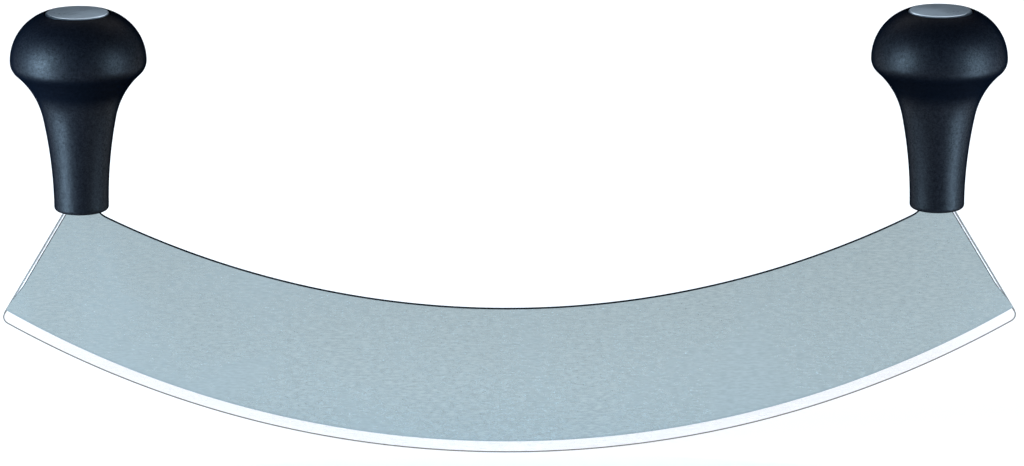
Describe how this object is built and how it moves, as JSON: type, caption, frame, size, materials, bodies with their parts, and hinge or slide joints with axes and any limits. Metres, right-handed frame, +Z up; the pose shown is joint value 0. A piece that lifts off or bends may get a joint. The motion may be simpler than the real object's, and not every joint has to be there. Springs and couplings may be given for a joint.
{
  "type": "mezzaluna",
  "caption": "Single-blade mezzaluna: a crescent steel blade with a ground edge, rocked on a board by an upright mushroom-shaped handle over each end.",
  "frame": {"origin": "lowest point of the cutting edge, at mid-length and mid-thickness of the blade", "axes": "+X along the blade, +Y through its thickness, +Z up from the edge towards the handles"},
  "size_m": [0.3, 0.04, 0.135],
  "materials": {
    "blade_steel": "fine brushed faces, bright ground bevel",
    "handle_plastic": "matt with a fine mould grain",
    "cap_steel": "satin with a bright edge",
    "fastener_steel": "plain machined"
  },
  "bodies": {
    "root": {"blade": "blade_steel", "left_handle": "handle_plastic", "right_handle": "handle_plastic", "left_end_cap": "cap_steel", "right_end_cap": "cap_steel", "left_tang_stud": "fastener_steel", "right_tang_stud": "fastener_steel", "left_washer": "fastener_steel", "right_washer": "fastener_steel", "left_nut": "fastener_steel", "right_nut": "fastener_steel"}
  },
  "joints": []
}
